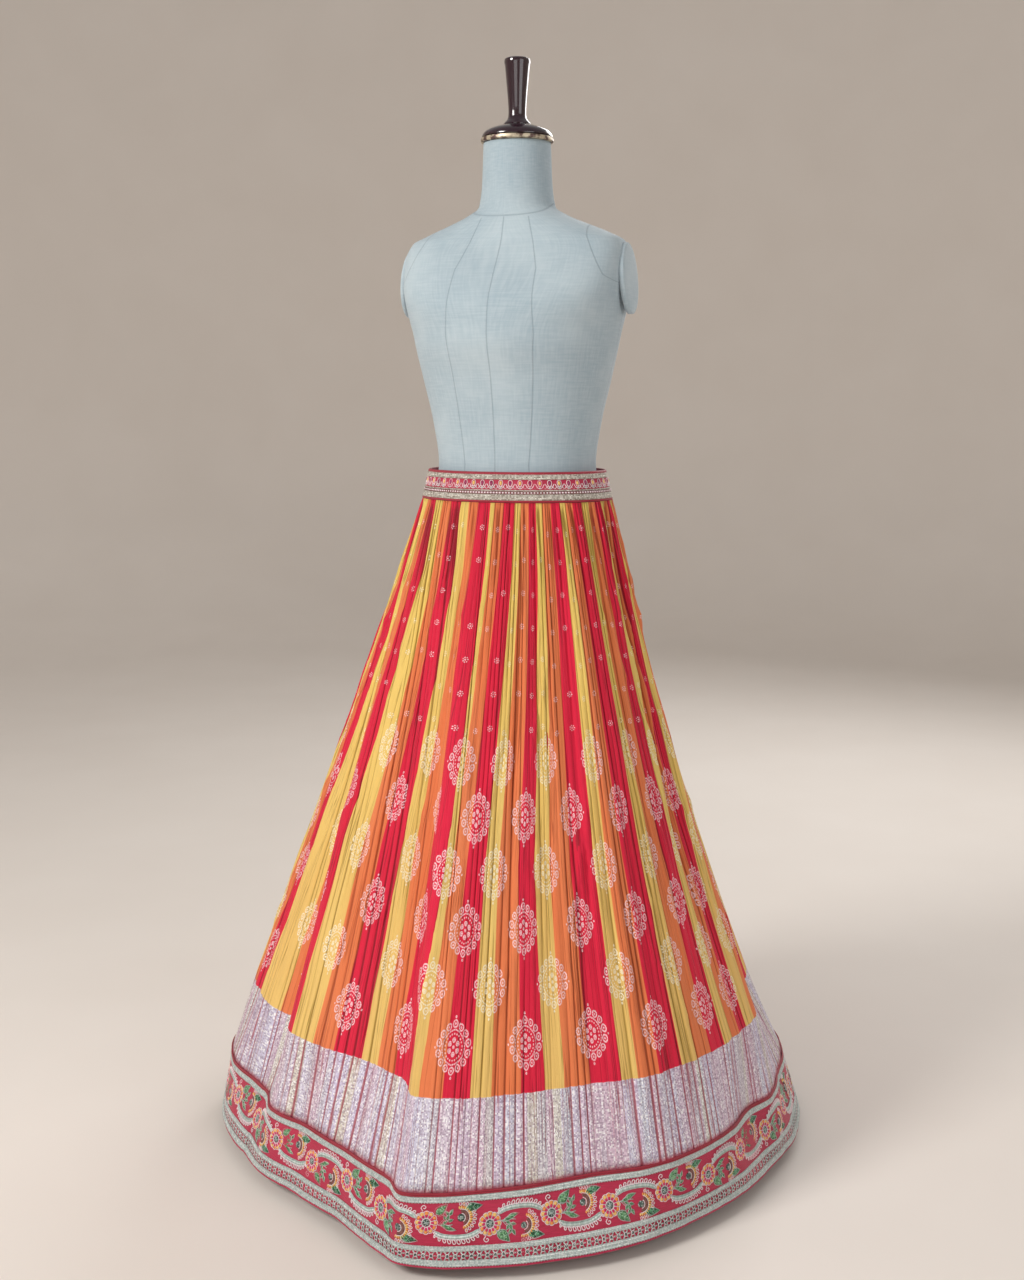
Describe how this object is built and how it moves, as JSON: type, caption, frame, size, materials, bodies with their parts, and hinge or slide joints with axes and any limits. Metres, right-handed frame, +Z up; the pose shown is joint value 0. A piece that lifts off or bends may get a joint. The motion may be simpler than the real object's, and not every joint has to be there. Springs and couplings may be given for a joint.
{
  "type": "lehenga skirt on limbless dress form",
  "caption": "Floor-length pleated lehenga skirt with silver band, embroidered border and waistband, worn by a limbless dress form on a stand.",
  "frame": {"origin": "centre of the stand's base, on the floor", "axes": "+Z up along the pole, -Y the front of the dress form, +X the form's left"},
  "size_m": [0.8966, 0.9528, 1.6],
  "materials": {
    "striped_silk": "pleated printed silk, yellow, orange and red stripes over a woven silver band",
    "crimson_silk": "crimson raw silk with embroidery",
    "maroon_piping": "maroon satin cord",
    "silver_braid": "metallic silver braid",
    "form_cloth": "pale grey-blue cotton cover",
    "cap_rim": "worn cream metal rim",
    "lacquer": "dark maroon-black gloss",
    "stand_steel": "satin black paint"
  },
  "bodies": {
    "root": {"border_band_1": "crimson_silk", "border_band_2": "crimson_silk", "border_band_3": "crimson_silk", "border_band_4": "crimson_silk", "border_braid_lower_1": "silver_braid", "border_braid_lower_2": "silver_braid", "border_braid_lower_3": "silver_braid", "border_braid_lower_4": "silver_braid", "border_braid_upper_1": "silver_braid", "border_braid_upper_2": "silver_braid", "border_braid_upper_3": "silver_braid", "border_braid_upper_4": "silver_braid", "border_piping_1": "maroon_piping", "border_piping_2": "maroon_piping", "border_piping_3": "maroon_piping", "border_piping_4": "maroon_piping", "form_arm_plate_left": "form_cloth", "form_arm_plate_right": "form_cloth", "form_cap_rim": "cap_rim", "form_finial": "lacquer", "form_neck_cap": "lacquer", "form_torso": "form_cloth", "hem_braid_1": "silver_braid", "hem_braid_2": "silver_braid", "hem_braid_3": "silver_braid", "hem_braid_4": "silver_braid", "hem_piping_1": "crimson_silk", "hem_piping_2": "crimson_silk", "hem_piping_3": "crimson_silk", "hem_piping_4": "crimson_silk", "skirt_panel_1": "striped_silk", "skirt_panel_2": "striped_silk", "skirt_panel_3": "striped_silk", "skirt_panel_4": "striped_silk", "skirt_panel_5": "striped_silk", "skirt_panel_6": "striped_silk", "skirt_panel_7": "striped_silk", "skirt_panel_8": "striped_silk", "stand_base": "stand_steel", "stand_pole": "stand_steel", "waist_braid_lower_back": "silver_braid", "waist_braid_lower_front": "silver_braid", "waist_braid_upper_back": "silver_braid", "waist_braid_upper_front": "silver_braid", "waistband_back": "crimson_silk", "waistband_front": "crimson_silk"}
  },
  "joints": []
}
